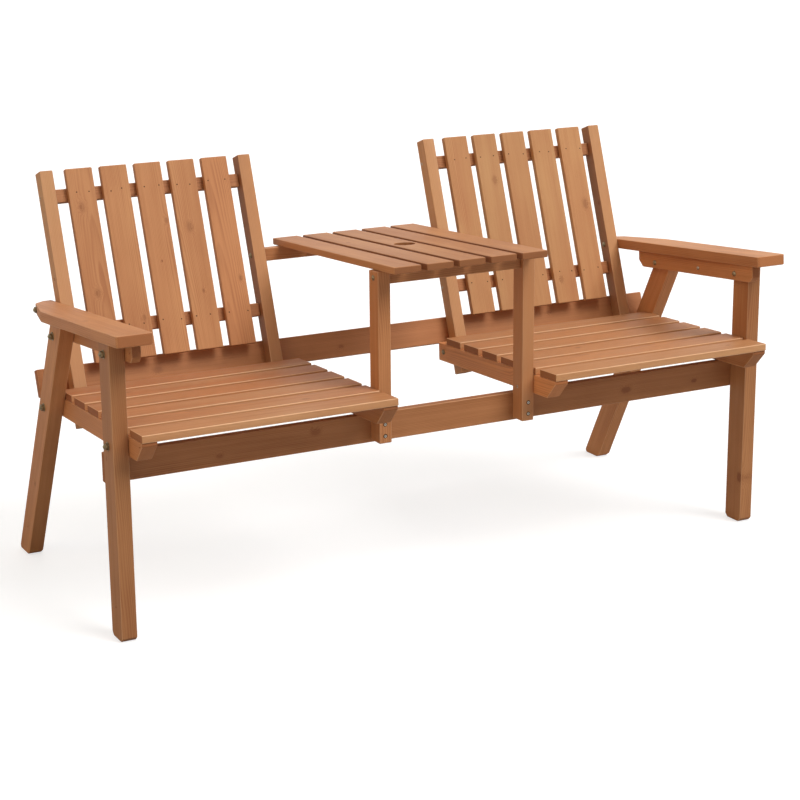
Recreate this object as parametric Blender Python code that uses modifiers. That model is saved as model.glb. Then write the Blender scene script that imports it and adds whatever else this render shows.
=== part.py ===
"""Patio bench: two slatted seats joined by a slatted table with an umbrella hole.

Units are metres. The bench faces -Y, +Z is up, and left and right are those of someone
who stands before it and looks at it, so left is -X. The origin is on the ground, under
the middle of the bench. Both sides of X = 0 are alike.
"""

import math
from collections import namedtuple

import bmesh
import bpy
from mathutils import Matrix, Vector

# Overall sizes
LEG_SPAN = 1.600
DEPTH = 0.750
HEEL_SETBACK = 0.0056
STILE_GAP = 0.4562

# Board sizes
LEG_WIDTH = 0.058
LEG_THICKNESS = 0.034
FRONT_RAIL_WIDTH = 0.064
REAR_RAIL_WIDTH = 0.0615
LONG_RAIL_THICKNESS = 0.020
LONG_RAIL_END_INSET = 0.002
SIDE_RAIL_HEIGHT = 0.0433
SIDE_RAIL_THICKNESS = 0.034
STILE_THICKNESS = 0.030
STILE_DEPTH = 0.035
STILE_LENGTH = 0.572
CROSS_RAIL_HEIGHT = 0.030
ARM_SUPPORT_HEIGHT = 0.040
ARM_SUPPORT_THICKNESS = 0.020
POST_THICKNESS = 0.030
POST_DEPTH = 0.042
TABLE_RAIL_HEIGHT = 0.030
TABLE_RAIL_THICKNESS = 0.022
EDGE_CHAMFER = 0.0015
CLEARANCE = 0.0003
OVERRUN = 0.010
MERGE_DISTANCE = 0.00005

# Feet
FOOT_CHAMFER = 0.008
FOOT_HOLE_HEIGHT = 0.070

# Seats
SEAT_FRONT_OVERHANG = 0.0744
SEAT_FRONT_HEIGHT = 0.4572
SEAT_ANGLE = math.radians(2.4)
SEAT_SLAT_COUNT = 6
SEAT_SLAT_GAP = 0.0182
SEAT_SLAT_THICKNESS = 0.0165
SEAT_BACK_GAP = 0.0105
SIDE_RAIL_FRONT_INSET = 0.003
SIDE_RAIL_BACK_GAP = 0.002
SIDE_RAIL_CHAMFER = 0.036
SIDE_RAIL_HOLE_INSET = 0.012
SIDE_RAIL_HOLE_DROP = 0.010

# Backs
BACK_FOOT_Y = 0.101
BACK_FOOT_HEIGHT = 0.3493
BACK_ANGLE = math.radians(19.3)
BACK_SLAT_COUNT = 5
BACK_SLAT_GAP = 0.0187
BACK_SLAT_MARGIN = 0.0281
BACK_SLAT_THICKNESS = 0.015
BACK_SLAT_START = 0.136
LOWER_CROSS_RAIL_START = 0.198
UPPER_CROSS_RAIL_DROP = 0.041
SPARE_HOLE_START = 0.333

# Arms
ARM_FRONT_OVERHANG = 0.075
ARM_FRONT_HEIGHT = 0.6632
ARM_ANGLE = math.radians(5.1)
ARM_THICKNESS = 0.024
ARM_WIDTH = 0.0775
ARM_REAR_MARGIN = 0.044
ARM_TAPER_LENGTH = 0.132
ARM_TAPER_IN = 0.032
ARM_REAR_CUT = 0.024
ARM_CORNER_RADIUS = 0.008
ARM_CORNER_STEPS = 3
ARM_SPOT_FACE_DEPTH = 0.003
ARM_SUPPORT_FRONT_INSET = 0.040
ARM_SUPPORT_REAR_MARGIN = 0.080
ARM_SUPPORT_FRONT_CHAMFER = 0.012
ARM_SUPPORT_REAR_CHAMFER = 0.016
ARM_SUPPORT_HOLE_INSET = 0.012

# Table
TABLE_FRONT_OVERHANG = 0.0473
TABLE_FRONT_HEIGHT = 0.7297
TABLE_ANGLE = math.radians(3.55)
TABLE_REAR_OVERHANG = 0.033
TABLE_SIDE_GAP = 0.0413
TABLE_SLAT_COUNT = 5
TABLE_SLAT_GAP = 0.0135
TABLE_SLAT_THICKNESS = 0.0155
POST_FOOT_RISE = 0.0063
UMBRELLA_HOLE_RADIUS = 0.024
UMBRELLA_HOLE_STEPS = 32
APRON_HEIGHT = 0.030
APRON_THICKNESS = 0.022

# Bolts
BOLT_STEPS = 12
NUT_STEPS = 6
BOLT_RADIUS = 0.004
BOLT_HOLE_CLEARANCE = 0.0003
BOLT_HEAD_RADIUS = 0.008
BOLT_HEAD_HEIGHT = 0.0045
BOLT_HEAD_STEPS = 3
BOLT_END = 0.006
WASHER_RADIUS = 0.0095
WASHER_THICKNESS = 0.0015
NUT_RADIUS = 0.0075
NUT_THICKNESS = 0.006
SPOT_FACE_CLEARANCE = 0.0008

# Spare holes
HOLE_STEPS = 8
SPARE_HOLE_RADIUS = 0.003
SMALL_HOLE_RADIUS = 0.0022

# Widths along X that follow from the sizes above, for the +X side
LEG_OUTER_X = LEG_SPAN / 2
LEG_INNER_X = LEG_OUTER_X - LEG_THICKNESS
SEAT_OUTER_X = LEG_INNER_X - CLEARANCE
OUTER_RAIL_INNER_X = SEAT_OUTER_X - SIDE_RAIL_THICKNESS
OUTER_STILE_X = OUTER_RAIL_INNER_X - CLEARANCE
OUTER_STILE_INNER_X = OUTER_STILE_X - STILE_THICKNESS
INNER_STILE_INNER_X = STILE_GAP / 2
INNER_STILE_X = INNER_STILE_INNER_X + STILE_THICKNESS
INNER_RAIL_X = INNER_STILE_INNER_X - CLEARANCE
SEAT_INNER_X = INNER_RAIL_X - SIDE_RAIL_THICKNESS
POST_OUTER_X = SEAT_INNER_X - CLEARANCE
POST_INNER_X = POST_OUTER_X - POST_THICKNESS
TABLE_HALF_WIDTH = INNER_STILE_INNER_X - TABLE_SIDE_GAP
ARM_INNER_X = OUTER_STILE_X + CLEARANCE
ARM_OUTER_X = ARM_INNER_X + ARM_WIDTH
ARM_SUPPORT_INNER_X = SEAT_OUTER_X - ARM_SUPPORT_THICKNESS

# Depths along Y
ARM_FRONT_Y = -DEPTH / 2
HEEL_Y = DEPTH / 2 + HEEL_SETBACK
FRONT_LEG_Y = ARM_FRONT_Y + ARM_FRONT_OVERHANG
FRONT_LEG_BACK_Y = FRONT_LEG_Y + LEG_WIDTH
SEAT_FRONT_Y = FRONT_LEG_Y - SEAT_FRONT_OVERHANG
TABLE_FRONT_Y = FRONT_LEG_Y - TABLE_FRONT_OVERHANG
FRONT_RAIL_Y = FRONT_LEG_BACK_Y + CLEARANCE
FRONT_RAIL_BACK_Y = FRONT_RAIL_Y + LONG_RAIL_THICKNESS
POST_FRONT_Y = FRONT_LEG_BACK_Y - POST_DEPTH

# Heights of what lies under a sloping top face, measured square to that face
SEAT_RAIL_TOP = -SEAT_SLAT_THICKNESS - CLEARANCE
SEAT_RAIL_MIDDLE = SEAT_RAIL_TOP - SIDE_RAIL_HEIGHT / 2
SEAT_RAIL_BOTTOM = SEAT_RAIL_TOP - SIDE_RAIL_HEIGHT
ARM_SUPPORT_TOP = -ARM_THICKNESS - CLEARANCE
ARM_SUPPORT_MIDDLE = ARM_SUPPORT_TOP - ARM_SUPPORT_HEIGHT / 2
ARM_SUPPORT_BOTTOM = ARM_SUPPORT_TOP - ARM_SUPPORT_HEIGHT
TABLE_RAIL_TOP = -TABLE_SLAT_THICKNESS - CLEARANCE
TABLE_RAIL_MIDDLE = TABLE_RAIL_TOP - TABLE_RAIL_HEIGHT / 2
APRON_MIDDLE = TABLE_RAIL_TOP - APRON_HEIGHT / 2

# A profile drawn in X and Y is turned to stand in the bench's Y and Z
PROFILE_TURN = (math.pi / 2, 0, math.pi / 2)

SIDES = (("left", -1), ("right", 1))

# An upright line seen from the side: its Y on the ground, and how far back it leans per metre up
Upright = namedtuple("Upright", "ground_y lean")


class Plane:
    """The top face of sloping boards: an empty turned about X, to which they are parented."""

    def __init__(self, name, y, z, angle):
        self.y, self.z, self.angle = y, z, angle
        self.empty = bpy.data.objects.new(name, None)
        self.empty.location = (0, y, z)
        self.empty.rotation_euler = (angle, 0, 0)
        BENCH.objects.link(self.empty)

    def point(self, along, up):
        """The bench's Y and Z of a place along the plane and up from it."""
        cos, sin = math.cos(self.angle), math.sin(self.angle)
        return self.y + along * cos - up * sin, self.z + along * sin + up * cos

    def crossing(self, up, upright):
        """The bench's Y and Z where an upright meets the face that lies up from the plane."""
        face_y, face_z = self.point(0, up)
        slope = math.tan(self.angle)
        level = face_z - slope * face_y
        z = (level + slope * upright.ground_y) / (1 - slope * upright.lean)
        return upright.ground_y + upright.lean * z, z

    def along(self, place):
        """How far along the plane a place given by the bench's Y and Z lies."""
        y, z = place
        return (y - self.y) * math.cos(self.angle) + (z - self.z) * math.sin(self.angle)

    def up(self, place):
        """How far up from the plane a place given by the bench's Y and Z lies."""
        y, z = place
        return (z - self.z) * math.cos(self.angle) - (y - self.y) * math.sin(self.angle)

    def direction(self, along, up):
        """A direction in the plane, as a vector in the bench."""
        cos, sin = math.cos(self.angle), math.sin(self.angle)
        return 0, along * cos - up * sin, along * sin + up * cos


def clear_scene():
    for obj in list(bpy.data.objects):
        bpy.data.objects.remove(obj, do_unlink=True)


def new_collection(name):
    collection = bpy.data.collections.new(name)
    bpy.context.scene.collection.children.link(collection)
    return collection


def new_material(name, color, roughness, metallic=0.0):
    material = bpy.data.materials.new(name)
    material.use_nodes = True
    shader = material.node_tree.nodes["Principled BSDF"]
    shader.inputs["Base Color"].default_value = (*color, 1)
    shader.inputs["Roughness"].default_value = roughness
    shader.inputs["Metallic"].default_value = metallic
    return material


def solid_mesh(obj, name, join_flat=False):
    """The object's evaluated shape, welded, and with its flat faces made whole if asked."""
    bpy.context.view_layer.update()
    graph = bpy.context.evaluated_depsgraph_get()
    mesh = bpy.data.meshes.new_from_object(obj.evaluated_get(graph))
    mesh.name = name
    shape = bmesh.new()
    shape.from_mesh(mesh)
    bmesh.ops.remove_doubles(shape, verts=shape.verts, dist=MERGE_DISTANCE)
    if join_flat:
        flat = math.radians(1)
        bmesh.ops.dissolve_limit(shape, angle_limit=flat, verts=shape.verts, edges=shape.edges)
    bmesh.ops.recalc_face_normals(shape, faces=shape.faces)
    shape.to_mesh(mesh)
    shape.free()
    return mesh


def finish_board(board, material, plane):
    board.data.name = board.name
    board.data.materials.clear()
    board.data.materials.append(material)
    for collection in list(board.users_collection):
        collection.objects.unlink(board)
    BENCH.objects.link(board)
    if plane:
        board.parent = plane.empty
    chamfer = board.modifiers.new("eased edges", "BEVEL")
    chamfer.width = EDGE_CHAMFER
    chamfer.segments = 1
    chamfer.limit_method = "ANGLE"
    chamfer.angle_limit = math.radians(40)


def box_board(name, low, high, material, plane=None):
    """A plain board between two corners, which are given in its plane or in the bench."""
    low, high = Vector(low), Vector(high)
    bpy.ops.mesh.primitive_cube_add(size=1, location=(low + high) / 2)
    board = bpy.context.object
    board.name = name
    board.data.transform(Matrix.Diagonal((*(high - low), 1)))
    finish_board(board, material, plane)


def outline_board(name, points, thickness, location, turn, material, plane=None):
    """A board cut to an outline that is drawn in X and Y, with its thickness along Z."""
    curve = bpy.data.curves.new(name, "CURVE")
    curve.dimensions = "2D"
    curve.fill_mode = "BOTH"
    curve.extrude = thickness / 2
    spline = curve.splines.new("POLY")
    spline.points.add(len(points) - 1)
    for point, (x, y) in zip(spline.points, points):
        point.co = (x, y, 0, 1)
    spline.use_cyclic_u = True
    drawing = bpy.data.objects.new(name + " outline", curve)
    CUTTERS.objects.link(drawing)
    board = bpy.data.objects.new(name, solid_mesh(drawing, name, join_flat=True))
    bpy.data.objects.remove(drawing, do_unlink=True)
    board.location = location
    board.rotation_euler = turn
    finish_board(board, material, plane)


def profile_board(name, points, low_x, high_x, plane=None):
    """A frame board whose outline stands in Y and Z and which reaches from low_x to high_x."""
    middle = ((low_x + high_x) / 2, 0, 0)
    outline_board(name, points, high_x - low_x, middle, PROFILE_TURN, FRAME_WOOD, plane)


def on_side(side, inner, outer):
    """Two places along X on one side of the bench, the lower first."""
    return sorted((side * inner, side * outer))


def turned_mesh(name, profile, steps):
    """A turned solid: (radius, height) points that run down its outer side, about Z."""
    mesh = bpy.data.meshes.new(name)
    points = [(radius, 0, height) for radius, height in profile]
    mesh.from_pydata(points, [(i, i + 1) for i in range(len(points) - 1)], [])
    drawing = bpy.data.objects.new(name, mesh)
    screw = drawing.modifiers.new("turn", "SCREW")
    screw.axis = "Z"
    screw.steps = steps
    screw.render_steps = steps
    screw.use_merge_vertices = True
    screw.merge_threshold = MERGE_DISTANCE
    CUTTERS.objects.link(drawing)
    solid = solid_mesh(drawing, name)
    bpy.data.objects.remove(drawing, do_unlink=True)
    return solid


def facing(place, direction):
    """Puts a turned shape at a place in the bench, its top facing the given way."""
    turn = Vector(direction).to_track_quat("Z", "Y").to_matrix().to_4x4()
    return Matrix.Translation(place) @ turn


def new_tool(name, mesh, placement):
    """A shape that only cuts or joins other objects."""
    tool = bpy.data.objects.new(name, mesh)
    tool.matrix_world = placement
    tool.hide_render = True
    tool.display_type = "WIRE"
    CUTTERS.objects.link(tool)
    return tool


def combine(target, tool, operation):
    boolean = target.modifiers.new(tool.name, "BOOLEAN")
    boolean.operation = operation
    boolean.solver = "EXACT"
    boolean.object = tool


def cut_round(boards, name, radius, depth, placement, steps):
    """Cuts a round hole as deep as given under Z = 0 of its placement."""
    profile = [(0, OVERRUN), (radius, OVERRUN), (radius, -depth), (0, -depth)]
    tool = new_tool(name, turned_mesh(name, profile, steps), placement)
    for board in boards:
        combine(BENCH.objects[board], tool, "DIFFERENCE")


def cut_side_hole(board, side, face_x, place, radius, depth):
    """Cuts a blind hole in the outward face of a board, at the bench's Y and Z."""
    placement = facing((side * face_x, *place), (side, 0, 0))
    cut_round([board], board + " hole", radius, depth, placement, HOLE_STEPS)


def stile_line(setback):
    """The upright that runs up the stiles, set back from their front faces."""
    lean = math.tan(BACK_ANGLE)
    ground_y = BACK_FOOT_Y - BACK_FOOT_HEIGHT * lean + setback / math.cos(BACK_ANGLE)
    return Upright(ground_y, lean)


def rear_leg_angle(seat):
    """The rear legs lean so that the seats' rear bolts pass through their middle."""
    y, z = seat.crossing(SEAT_RAIL_MIDDLE, stile_line(STILE_DEPTH / 2))
    reach = math.hypot(HEEL_Y - y, z)
    return math.atan2(HEEL_Y - y, z) - math.asin(LEG_WIDTH / 2 / reach)


def rear_leg_line(angle, setforward):
    """The upright that runs up the rear legs, set forward from their rear faces."""
    return Upright(HEEL_Y - setforward / math.cos(angle), -math.tan(angle))


def leg_outline(front, back, arms):
    """A leg seen from the side, between two uprights, its foot's corners cut off."""
    return [
        (front.ground_y + front.lean * FOOT_CHAMFER, FOOT_CHAMFER),
        (front.ground_y + FOOT_CHAMFER, 0),
        (back.ground_y - FOOT_CHAMFER, 0),
        (back.ground_y + back.lean * FOOT_CHAMFER, FOOT_CHAMFER),
        arms.crossing(ARM_SUPPORT_TOP, back),
        arms.crossing(ARM_SUPPORT_TOP, front),
    ]


def make_legs(arms, leg_angle):
    front = leg_outline(Upright(FRONT_LEG_Y, 0), Upright(FRONT_LEG_BACK_Y, 0), arms)
    rear = leg_outline(rear_leg_line(leg_angle, LEG_WIDTH), rear_leg_line(leg_angle, 0), arms)
    legs = {
        "front_leg_": (front, Upright(FRONT_LEG_Y + LEG_WIDTH / 2, 0)),
        "rear_leg_": (rear, rear_leg_line(leg_angle, LEG_WIDTH / 2)),
    }
    for label, side in SIDES:
        for leg, (outline, middle) in legs.items():
            profile_board(leg + label, outline, *on_side(side, LEG_INNER_X, LEG_OUTER_X))
            place = (middle.ground_y + middle.lean * FOOT_HOLE_HEIGHT, FOOT_HOLE_HEIGHT)
            depth = LEG_THICKNESS / 2
            cut_side_hole(leg + label, side, LEG_OUTER_X, place, SMALL_HOLE_RADIUS, depth)


def front_rail_top(seat):
    """The front rail carries the seats' side rails."""
    _, z = seat.crossing(SEAT_RAIL_BOTTOM, Upright(FRONT_RAIL_BACK_Y, 0))
    return z - CLEARANCE


def rear_rail_start(backs, leg_angle):
    """How far up the stiles the rear rail's lower edge meets the rear legs."""
    rail = stile_line(STILE_DEPTH + CLEARANCE)
    leg = rear_leg_line(leg_angle, -CLEARANCE)
    z = (leg.ground_y - rail.ground_y) / (rail.lean - leg.lean)
    return backs.up((rail.ground_y + rail.lean * z, z))


def make_long_rails(seat, backs, leg_angle):
    half = LEG_OUTER_X - LONG_RAIL_END_INSET
    top = front_rail_top(seat)
    low = (-half, FRONT_RAIL_Y, top - FRONT_RAIL_WIDTH)
    box_board("front_long_rail", low, (half, FRONT_RAIL_BACK_Y, top), FRAME_WOOD)
    face = STILE_DEPTH + CLEARANCE
    start = rear_rail_start(backs, leg_angle)
    high = (half, face + LONG_RAIL_THICKNESS, start + REAR_RAIL_WIDTH)
    box_board("rear_long_rail", (-half, face, start), high, FRAME_WOOD, backs)


def make_seat(seat, label, side):
    rear_rail = stile_line(STILE_DEPTH + CLEARANCE)
    front = SIDE_RAIL_FRONT_INSET
    back = seat.along(seat.crossing(SEAT_RAIL_MIDDLE, rear_rail)) - SIDE_RAIL_BACK_GAP
    profile = [
        (front, SEAT_RAIL_BOTTOM + SIDE_RAIL_CHAMFER),
        (front + SIDE_RAIL_CHAMFER, SEAT_RAIL_BOTTOM),
        (back, SEAT_RAIL_BOTTOM),
        (back, SEAT_RAIL_TOP),
        (front, SEAT_RAIL_TOP),
    ]
    outer_rail = "outer_side_rail_" + label
    inner_rail = "inner_side_rail_" + label
    profile_board(outer_rail, profile, *on_side(side, OUTER_RAIL_INNER_X, SEAT_OUTER_X), seat)
    profile_board(inner_rail, profile, *on_side(side, SEAT_INNER_X, INNER_RAIL_X), seat)
    place = seat.point(front + SIDE_RAIL_HOLE_INSET, SEAT_RAIL_TOP - SIDE_RAIL_HOLE_DROP)
    depth = SIDE_RAIL_THICKNESS / 2
    cut_side_hole(outer_rail, side, SEAT_OUTER_X, place, SMALL_HOLE_RADIUS, depth)

    back = seat.along(seat.crossing(-SEAT_SLAT_THICKNESS, stile_line(0))) - SEAT_BACK_GAP
    width = (back - (SEAT_SLAT_COUNT - 1) * SEAT_SLAT_GAP) / SEAT_SLAT_COUNT
    low, high = on_side(side, SEAT_INNER_X, SEAT_OUTER_X)
    for number in range(SEAT_SLAT_COUNT):
        front = number * (width + SEAT_SLAT_GAP)
        name = f"seat_slat_{label}_{number + 1}"
        corner = (low, front, -SEAT_SLAT_THICKNESS)
        box_board(name, corner, (high, front + width, 0), SLAT_WOOD, seat)


def make_back(backs, label, side):
    stiles = {
        "outer_stile_": on_side(side, OUTER_STILE_INNER_X, OUTER_STILE_X),
        "inner_stile_": on_side(side, INNER_STILE_INNER_X, INNER_STILE_X),
    }
    for stile, (low, high) in stiles.items():
        top = (high, STILE_DEPTH, STILE_LENGTH)
        box_board(stile + label, (low, 0, 0), top, FRAME_WOOD, backs)
    place = backs.point(STILE_DEPTH / 2, SPARE_HOLE_START)
    depth = STILE_THICKNESS / 2
    cut_side_hole("outer_stile_" + label, side, OUTER_STILE_X, place, SPARE_HOLE_RADIUS, depth)

    low, high = on_side(side, INNER_STILE_X + CLEARANCE, OUTER_STILE_INNER_X - CLEARANCE)
    rails = {
        "lower_cross_rail_": LOWER_CROSS_RAIL_START,
        "upper_cross_rail_": STILE_LENGTH - UPPER_CROSS_RAIL_DROP - CROSS_RAIL_HEIGHT,
    }
    for rail, start in rails.items():
        corner = (low, BACK_SLAT_THICKNESS + CLEARANCE, start)
        top = (high, STILE_DEPTH, start + CROSS_RAIL_HEIGHT)
        box_board(rail + label, corner, top, FRAME_WOOD, backs)

    room = high - low - 2 * BACK_SLAT_MARGIN
    width = (room - (BACK_SLAT_COUNT - 1) * BACK_SLAT_GAP) / BACK_SLAT_COUNT
    for number in range(BACK_SLAT_COUNT):
        start = low + BACK_SLAT_MARGIN + number * (width + BACK_SLAT_GAP)
        corner = (start, 0, BACK_SLAT_START)
        top = (start + width, BACK_SLAT_THICKNESS, STILE_LENGTH)
        box_board(f"back_slat_{label}_{number + 1}", corner, top, SLAT_WOOD, backs)


def rounded_corner(x, inward):
    """A round front corner of an armrest, from its side edge to its front edge."""
    points = []
    for step in range(ARM_CORNER_STEPS + 1):
        turn = math.pi / 2 * step / ARM_CORNER_STEPS
        across = x + inward * ARM_CORNER_RADIUS * (1 - math.cos(turn))
        points.append((across, ARM_CORNER_RADIUS * (1 - math.sin(turn))))
    return points


def armrest_bolt(arms):
    """The bench's Y and Z of the bolt that holds an armrest to its stile."""
    return arms.crossing(-ARM_THICKNESS / 2, stile_line(STILE_DEPTH / 2))


def armrest_outline(arms):
    """The right armrest from above: straight along the stile, drawn in behind on the outside."""
    rear = arms.along(armrest_bolt(arms)) + ARM_REAR_MARGIN
    taper_end = rear - ARM_REAR_CUT
    tip_x = ARM_OUTER_X - ARM_TAPER_IN
    return [
        (ARM_INNER_X, rear),
        *rounded_corner(ARM_INNER_X, 1),
        *reversed(rounded_corner(ARM_OUTER_X, -1)),
        (ARM_OUTER_X, taper_end - ARM_TAPER_LENGTH),
        (tip_x, taper_end),
        (tip_x - ARM_REAR_CUT, rear),
    ]


def spot_face_x():
    """The flat in the armrest's drawn-in side that the bolt's washer sits on."""
    drawn_in_share = 1 - (ARM_REAR_MARGIN - ARM_REAR_CUT) / ARM_TAPER_LENGTH
    return ARM_OUTER_X - drawn_in_share * ARM_TAPER_IN - ARM_SPOT_FACE_DEPTH


def arm_support_ends(arms, leg_angle):
    leg = rear_leg_line(leg_angle, LEG_WIDTH / 2)
    rear = arms.along(arms.crossing(ARM_SUPPORT_MIDDLE, leg)) + ARM_SUPPORT_REAR_MARGIN
    return ARM_SUPPORT_FRONT_INSET, rear


def make_arm(arms, leg_angle, label, side):
    armrest = "armrest_" + label
    outline = [(side * x, y) for x, y in armrest_outline(arms)]
    middle = (0, 0, -ARM_THICKNESS / 2)
    outline_board(armrest, outline, ARM_THICKNESS, middle, (0, 0, 0), FRAME_WOOD, arms)
    placement = facing((side * ARM_OUTER_X, *armrest_bolt(arms)), (side, 0, 0))
    radius = WASHER_RADIUS + SPOT_FACE_CLEARANCE
    depth = ARM_OUTER_X - spot_face_x()
    cut_round([armrest], armrest + " spot face", radius, depth, placement, BOLT_STEPS)

    support = "arm_support_" + label
    front, rear = arm_support_ends(arms, leg_angle)
    profile = [
        (front, ARM_SUPPORT_BOTTOM + ARM_SUPPORT_FRONT_CHAMFER),
        (front + ARM_SUPPORT_FRONT_CHAMFER, ARM_SUPPORT_BOTTOM),
        (rear - ARM_SUPPORT_REAR_CHAMFER, ARM_SUPPORT_BOTTOM),
        (rear, ARM_SUPPORT_BOTTOM + ARM_SUPPORT_REAR_CHAMFER),
        (rear, ARM_SUPPORT_TOP),
        (front, ARM_SUPPORT_TOP),
    ]
    profile_board(support, profile, *on_side(side, ARM_SUPPORT_INNER_X, SEAT_OUTER_X), arms)
    place = arms.point(front + ARM_SUPPORT_HOLE_INSET, ARM_SUPPORT_MIDDLE)
    depth = ARM_SUPPORT_THICKNESS / 2
    cut_side_hole(support, side, SEAT_OUTER_X, place, SMALL_HOLE_RADIUS, depth)


def make_table(seat, table):
    bottom = front_rail_top(seat) - FRONT_RAIL_WIDTH + POST_FOOT_RISE
    profile = [
        (POST_FRONT_Y, bottom),
        (FRONT_LEG_BACK_Y, bottom),
        table.crossing(TABLE_RAIL_TOP, Upright(FRONT_LEG_BACK_Y, 0)),
        table.crossing(TABLE_RAIL_TOP, Upright(POST_FRONT_Y, 0)),
    ]
    for label, side in SIDES:
        profile_board("table_post_" + label, profile, *on_side(side, POST_INNER_X, POST_OUTER_X))

    half = POST_INNER_X - CLEARANCE
    middle = table.along(table.crossing(APRON_MIDDLE, Upright(POST_FRONT_Y + POST_DEPTH / 2, 0)))
    low = (-half, middle - APRON_THICKNESS / 2, TABLE_RAIL_TOP - APRON_HEIGHT)
    high = (half, middle + APRON_THICKNESS / 2, TABLE_RAIL_TOP)
    box_board("table_front_apron", low, high, FRAME_WOOD, table)

    half = INNER_STILE_INNER_X - CLEARANCE
    middle = table.along(table.crossing(TABLE_RAIL_MIDDLE, stile_line(STILE_DEPTH / 2)))
    low = (-half, middle - TABLE_RAIL_THICKNESS / 2, TABLE_RAIL_TOP - TABLE_RAIL_HEIGHT)
    high = (half, middle + TABLE_RAIL_THICKNESS / 2, TABLE_RAIL_TOP)
    box_board("table_rear_rail", low, high, FRAME_WOOD, table)

    length = middle + TABLE_REAR_OVERHANG
    gaps = (TABLE_SLAT_COUNT - 1) * TABLE_SLAT_GAP
    width = (2 * TABLE_HALF_WIDTH - gaps) / TABLE_SLAT_COUNT
    for number in range(TABLE_SLAT_COUNT):
        start = number * (width + TABLE_SLAT_GAP) - TABLE_HALF_WIDTH
        corner = (start, 0, -TABLE_SLAT_THICKNESS)
        box_board(f"table_slat_{number + 1}", corner, (start + width, length, 0), SLAT_WOOD, table)
    placement = facing((0, *table.point(length / 2, 0)), table.direction(0, 1))
    slat = f"table_slat_{TABLE_SLAT_COUNT // 2 + 1}"
    depth = TABLE_SLAT_THICKNESS + OVERRUN
    cut_round([slat], "umbrella hole", UMBRELLA_HOLE_RADIUS, depth, placement, UMBRELLA_HOLE_STEPS)


def bolt_profile(grip):
    """A bolt in boards as thick as its grip: its threaded end and washer over Z = 0, its head below."""
    nut_top = WASHER_THICKNESS + NUT_THICKNESS
    under_head = -grip - 2 * CLEARANCE
    profile = [
        (0, nut_top + BOLT_END),
        (BOLT_RADIUS, nut_top + BOLT_END),
        (BOLT_RADIUS, WASHER_THICKNESS),
        (WASHER_RADIUS, WASHER_THICKNESS),
        (WASHER_RADIUS, 0),
        (BOLT_RADIUS, 0),
        (BOLT_RADIUS, under_head),
    ]
    for step in range(BOLT_HEAD_STEPS + 1):
        turn = math.pi / 2 * step / BOLT_HEAD_STEPS
        height = under_head - BOLT_HEAD_HEIGHT * math.sin(turn)
        profile.append((BOLT_HEAD_RADIUS * math.cos(turn), height))
    return profile


def make_bolt(name, boards, head_x, end_x, place, side):
    """A bolt along X whose head is under head_x and whose nut is past end_x, tight on both."""
    grip = end_x - head_x
    placement = facing((side * (end_x + CLEARANCE), *place), (side, 0, 0))
    bolt = bpy.data.objects.new(name, turned_mesh(name, bolt_profile(grip), BOLT_STEPS))
    bolt.matrix_world = placement
    bolt.data.materials.append(STEEL)
    bolt.data.shade_smooth()
    bolt.data.set_sharp_from_angle(angle=math.radians(35))
    BENCH.objects.link(bolt)
    nut_top = WASHER_THICKNESS + NUT_THICKNESS
    sides = [(0, nut_top), (NUT_RADIUS, nut_top), (NUT_RADIUS, WASHER_THICKNESS / 2)]
    nut = turned_mesh(name + " nut", [*sides, (0, WASHER_THICKNESS / 2)], NUT_STEPS)
    combine(bolt, new_tool(name + " nut", nut, placement), "UNION")
    radius = BOLT_RADIUS + BOLT_HOLE_CLEARANCE
    cut_round(boards, name + " hole", radius, grip + OVERRUN, placement, BOLT_STEPS)


def make_bolts(seat, arms, label, side):
    front_leg = Upright(FRONT_LEG_Y + LEG_WIDTH / 2, 0)
    stile = stile_line(STILE_DEPTH / 2)
    outer_rail = "outer_side_rail_" + label
    outer_stile = "outer_stile_" + label
    boards = (outer_rail, "front_leg_" + label)
    place = seat.crossing(SEAT_RAIL_MIDDLE, front_leg)
    make_bolt("front_leg_bolt_" + label, boards, OUTER_RAIL_INNER_X, LEG_OUTER_X, place, side)
    boards = (outer_stile, outer_rail, "rear_leg_" + label)
    place = seat.crossing(SEAT_RAIL_MIDDLE, stile)
    make_bolt("rear_leg_bolt_" + label, boards, OUTER_STILE_INNER_X, LEG_OUTER_X, place, side)
    boards = (outer_stile, "armrest_" + label)
    place = armrest_bolt(arms)
    make_bolt("armrest_bolt_" + label, boards, OUTER_STILE_INNER_X, spot_face_x(), place, side)


def make_bench():
    seat = Plane("seat_plane", SEAT_FRONT_Y, SEAT_FRONT_HEIGHT, -SEAT_ANGLE)
    backs = Plane("back_plane", BACK_FOOT_Y, BACK_FOOT_HEIGHT, -BACK_ANGLE)
    arms = Plane("arm_plane", ARM_FRONT_Y, ARM_FRONT_HEIGHT, -ARM_ANGLE)
    table = Plane("table_plane", TABLE_FRONT_Y, TABLE_FRONT_HEIGHT, -TABLE_ANGLE)
    leg_angle = rear_leg_angle(seat)
    make_legs(arms, leg_angle)
    make_long_rails(seat, backs, leg_angle)
    for label, side in SIDES:
        make_seat(seat, label, side)
        make_back(backs, label, side)
        make_arm(arms, leg_angle, label, side)
        make_bolts(seat, arms, label, side)
    make_table(seat, table)


clear_scene()
BENCH = new_collection("patio_bench")
CUTTERS = new_collection("cutters")
FRAME_WOOD = new_material("frame_wood", (0.42, 0.19, 0.085), 0.6)
SLAT_WOOD = new_material("slat_wood", (0.50, 0.24, 0.11), 0.6)
STEEL = new_material("steel", (0.55, 0.54, 0.50), 0.35, 1.0)
make_bench()
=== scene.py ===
import math
import random

import bmesh
import bpy
from mathutils import Matrix, Vector


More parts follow.
